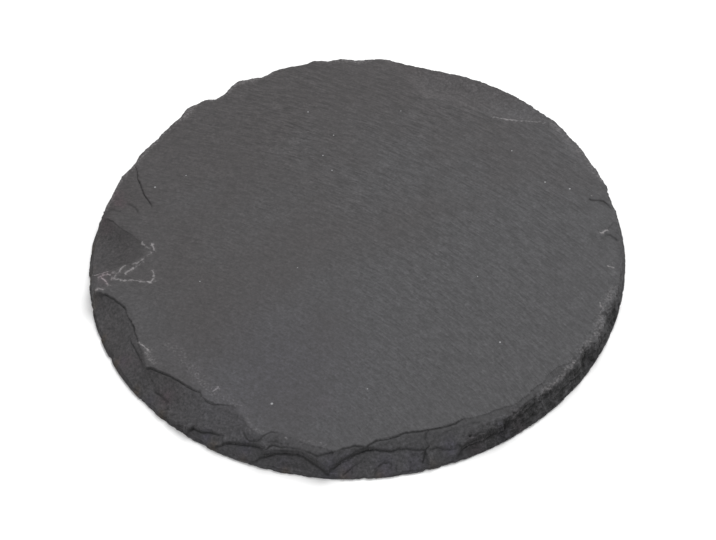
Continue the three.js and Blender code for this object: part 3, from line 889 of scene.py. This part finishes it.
class Slate(Graph):
    """The slab's material. Its fields are the noises and marks that colour and relief share."""

    def __init__(self):
        super().__init__("slate")
        place = self.node("TexCoord").outputs["Object"]
        self.place = self.vector("MULTIPLY", place, (1 / MM, 1 / MM, 1 / MM))
        self.x, self.y, _ = self.node("SeparateXYZ", [(0, self.place)]).outputs
        self.grit = self.noise(self.place, 2.2, 3, 0.7)
        self.speckle = self.noise(self.place, 1.5, 3, 0.65)
        self.crumbs = self.noise(self.place, 2.1, 3, 0.7)
        self.broken = self.mark("broken")
        self.whole = self.math("SUBTRACT", 1, self.broken)
        self.ridges = self.grain_ridges()
        self.crushed = self.crushed_stone()

    def grain_place(self):
        """Coordinates that follow the grain: across the ridges, and more slowly along them."""
        from_centre = self.vector("SUBTRACT", self.place, (*GRAIN_CENTRE, 0))
        x, y, _ = self.node("SeparateXYZ", [(0, from_centre)]).outputs
        across = self.vector("LENGTH", self.vector("MULTIPLY", from_centre, (1, 1, 0)))
        along = self.math("MULTIPLY", self.math("ARCTAN2", y, x), GRAIN_RADIUS * 0.18)
        return self.node("CombineXYZ", [(0, across), (1, along)]).outputs[0]

    def grain_ridges(self):
        """Ridges, strong on the right of the slab and at its back, and weak on the left."""
        grain = self.grain_place()
        side = self.scaled(self.y, 0.5, self.x)
        strength = self.product(
            self.ease(side, -26, 10, 0.5, 0.8),
            self.ease(self.y, -10, 35, 1, 1.35),
            self.spread(self.noise(self.place, 0.09, 2), 0.35, 0.65, 0.7, 1.25),
        )
        ridges = self.ease(self.noise(grain, 1.5, 2, 0.6, 0.4), 0.32, 0.68, -0.15, 0.15)
        fine = self.math("SUBTRACT", self.noise(grain, 2.6, 2, 0.6, 0.4), 0.5)
        return self.product(self.scaled(fine, 0.8, ridges), strength)

    def crushed_stone(self):
        """Solid where its mark is strong, scattered crumbs where the mark is weak."""
        marked = self.mark("crushed")
        scatter = self.scaled(self.math("SUBTRACT", self.crumbs, 0.5), 1.7, marked)
        return self.product(self.ease(scatter, 0.05, 1.25), self.ease(marked, 0.02, 0.15))

    def tone(self):
        """How light the stone is: its grit, ridges, lumps, layers and marks, with painted light and
        shade per region, and painted shade in its creases, its hollows and the pits of the rough
        stretch.
        """
        lumps = self.math("SUBTRACT", self.noise(self.place, 1.1, 4, 0.7), 0.5)
        lump_share = self.scaled(self.mark("rough"), 3.6, self.product(self.broken, 1.1))
        strata = self.vector("MULTIPLY", self.place, (0.3, 0.3, 3.5))
        strata = self.math("SUBTRACT", self.noise(strata, 1, 3, 0.6), 0.5)
        return self.product(
            self.spread(self.noise(self.place, 0.1, 2, 0.5), 0.3, 0.7, 0.97, 1.03),
            self.spread(self.grit, 0.25, 0.75, 0.48, 1.52),
            self.spread(self.speckle, 0.3, 0.7, 0.83, 1.17),
            self.scaled(self.product(self.ridges, self.whole), 1.15, 1),
            # lumps: random tone, and on the rough stretch painted shade in pits and painted light on
            # crumbs
            self.scaled(lumps, lump_share, 1),
            self.scaled(self.product(strata, self.broken), 0.45, 1),
            # the tone per region, partly painted light and shade
            self.mark("tone_and_painted_light"),
            # painted shade in hollows
            self.spread(self.mark("hollow"), 0, 1, 1, 0.6),
            # painted shade in the creases
            self.spread(self.mark("crease"), 0, 1.4, 1, 0),
        )

    def tinted(self, colour):
        for name, tint in TINTS.items():
            share = self.spread(self.speckle, 0.3, 0.7, 0.35, 1)
            share = self.product(self.mark(name), share)
            colour = self.blend(share, colour, self.blend(1, colour, tint, "MULTIPLY"))
        return colour

    def pale_grains(self):
        """1 on the single pale grains of the top face, 0 elsewhere."""
        found = 0.0
        for angle, radius, size in GRAINS:
            x, y = polar(angle, radius)
            gap = self.vector("DISTANCE", self.place, (x, y, THICKNESS - 0.1))
            found = self.math("MAXIMUM", found, self.ease(gap, size * 0.5, size * 1.1, 0.9, 0))
        return found

    def colour(self):
        """Warmer to the rear left, with the tone and its painted light and shade over it, and then the
        paler stone.
        """
        lean = self.scaled(self.y, -1.3, self.x)
        cloud = self.scaled(lean, 0.005, self.noise(self.place, 0.05, 3, 0.55))
        colour = self.blend(self.ease(cloud, 0.16, 0.76), WARM_SLATE, COOL_SLATE)
        colour = self.blend(1, colour, self.grey(self.tone()), "MULTIPLY")
        colour = self.tinted(self.blend(self.crushed, colour, CRUSHED_STONE))
        worn = self.product(self.mark("ridge"), self.ease(self.crumbs, 0.4, 0.6, 0.05, 0.4))
        colour = self.blend(worn, colour, WORN_STONE)
        return self.blend(self.pale_grains(), colour, PALE_GRAIN)

    def relief(self):
        """Relief finer than the mesh, in millimetres."""
        height = self.product(self.ridges, self.whole, 0.13)
        height = self.scaled(self.grit, 0.035, height)
        coarse = self.product(self.noise(self.place, 1.3, 5, 0.68), self.broken)
        height = self.scaled(coarse, 0.16, height)
        crumbs = self.product(self.crumbs, self.crushed)
        return self.scaled(crumbs, 0.05, height)


def slate_material():
    slate = Slate()
    rough = slate.spread(slate.grit, 0.3, 0.7, 0.62, 0.8)
    rough = slate.scaled(slate.broken, 0.12, rough)
    bump = slate.node("Bump", [("Height", slate.relief()), ("Distance", MM), ("Strength", 1)])
    inputs = slate.shader.inputs
    slate.put(inputs["Base Color"], slate.colour())
    slate.put(inputs["Roughness"], rough)
    slate.put(inputs["Normal"], bump.outputs[0])
    inputs["IOR"].default_value = STONE_IOR
    return slate.material


# Camera, floor and light

VIEW_ELEVATION = 49.92
VIEW_ROLL = -3.44
VIEW_DISTANCE = 0.45
VIEW_TARGET = Vector((0.00019, -0.00243, 0.0))
LENS = 121.58
SENSOR = 36.0
FLOOR_REACH = 20.0
PAPER = (0.9, 0.9, 0.9, 1)
SKY_STRENGTH = 0.8


def build_camera():
    tilt = math.radians(VIEW_ELEVATION)
    back = Vector((0, -math.cos(tilt), math.sin(tilt)))
    across = Vector((0, 0, 1)).cross(back).normalized()
    up = back.cross(across)
    roll = math.radians(VIEW_ROLL)
    right = across * math.cos(roll) + up * math.sin(roll)
    top = up * math.cos(roll) - across * math.sin(roll)
    camera = bpy.data.objects.new("camera", bpy.data.cameras.new("camera"))
    camera.data.lens = LENS
    camera.data.sensor_width = SENSOR
    turn = Matrix((right, top, back)).transposed()
    camera.matrix_world = Matrix.Translation(VIEW_TARGET + back * VIEW_DISTANCE) @ turn.to_4x4()
    bpy.context.scene.collection.objects.link(camera)
    bpy.context.scene.camera = camera


def build_floor():
    ends = (-FLOOR_REACH, FLOOR_REACH)
    corners = [(x, y, 0) for x in ends for y in ends]
    mesh = bpy.data.meshes.new("floor")
    mesh.from_pydata(corners, [], [(0, 2, 3, 1)])
    floor = bpy.data.objects.new("floor", mesh)
    bpy.context.scene.collection.objects.link(floor)
    paper = bpy.data.materials.new("white_paper")
    paper.use_nodes = True
    shader = paper.node_tree.nodes["Principled BSDF"]
    shader.inputs["Base Color"].default_value = PAPER
    shader.inputs["Roughness"].default_value = 1.0
    shader.inputs["Specular IOR Level"].default_value = 0.0
    mesh.materials.append(paper)


def area_light(name, azimuth, elevation, distance, size, power):
    """A square soft light that faces the slab. Azimuth is the plan angle it stands at."""
    turn, tilt = math.radians(azimuth), math.radians(elevation)
    level = math.cos(tilt)
    away = Vector((math.cos(turn) * level, math.sin(turn) * level, math.sin(tilt)))
    light = bpy.data.lights.new(name, "AREA")
    light.size = size
    light.energy = power
    lamp = bpy.data.objects.new(name, light)
    facing = away.to_track_quat("Z", "Y").to_matrix().to_4x4()
    lamp.matrix_world = Matrix.Translation(away * distance) @ facing
    bpy.context.scene.collection.objects.link(lamp)


def build_light():
    world = bpy.data.worlds.new("studio")
    world.use_nodes = True
    background = world.node_tree.nodes["Background"]
    background.inputs["Color"].default_value = (1, 1, 1, 1)
    background.inputs["Strength"].default_value = SKY_STRENGTH
    bpy.context.scene.world = world
    area_light("key", azimuth=55, elevation=60, distance=0.9, size=0.5, power=6.0)
    bpy.context.scene.view_settings.view_transform = "Standard"


build_camera()
build_floor()
build_light()
slab = build_slab()
mark_slab(slab.data)
slab.data.materials.append(slate_material())
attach(slab, "root")
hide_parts(NODE)
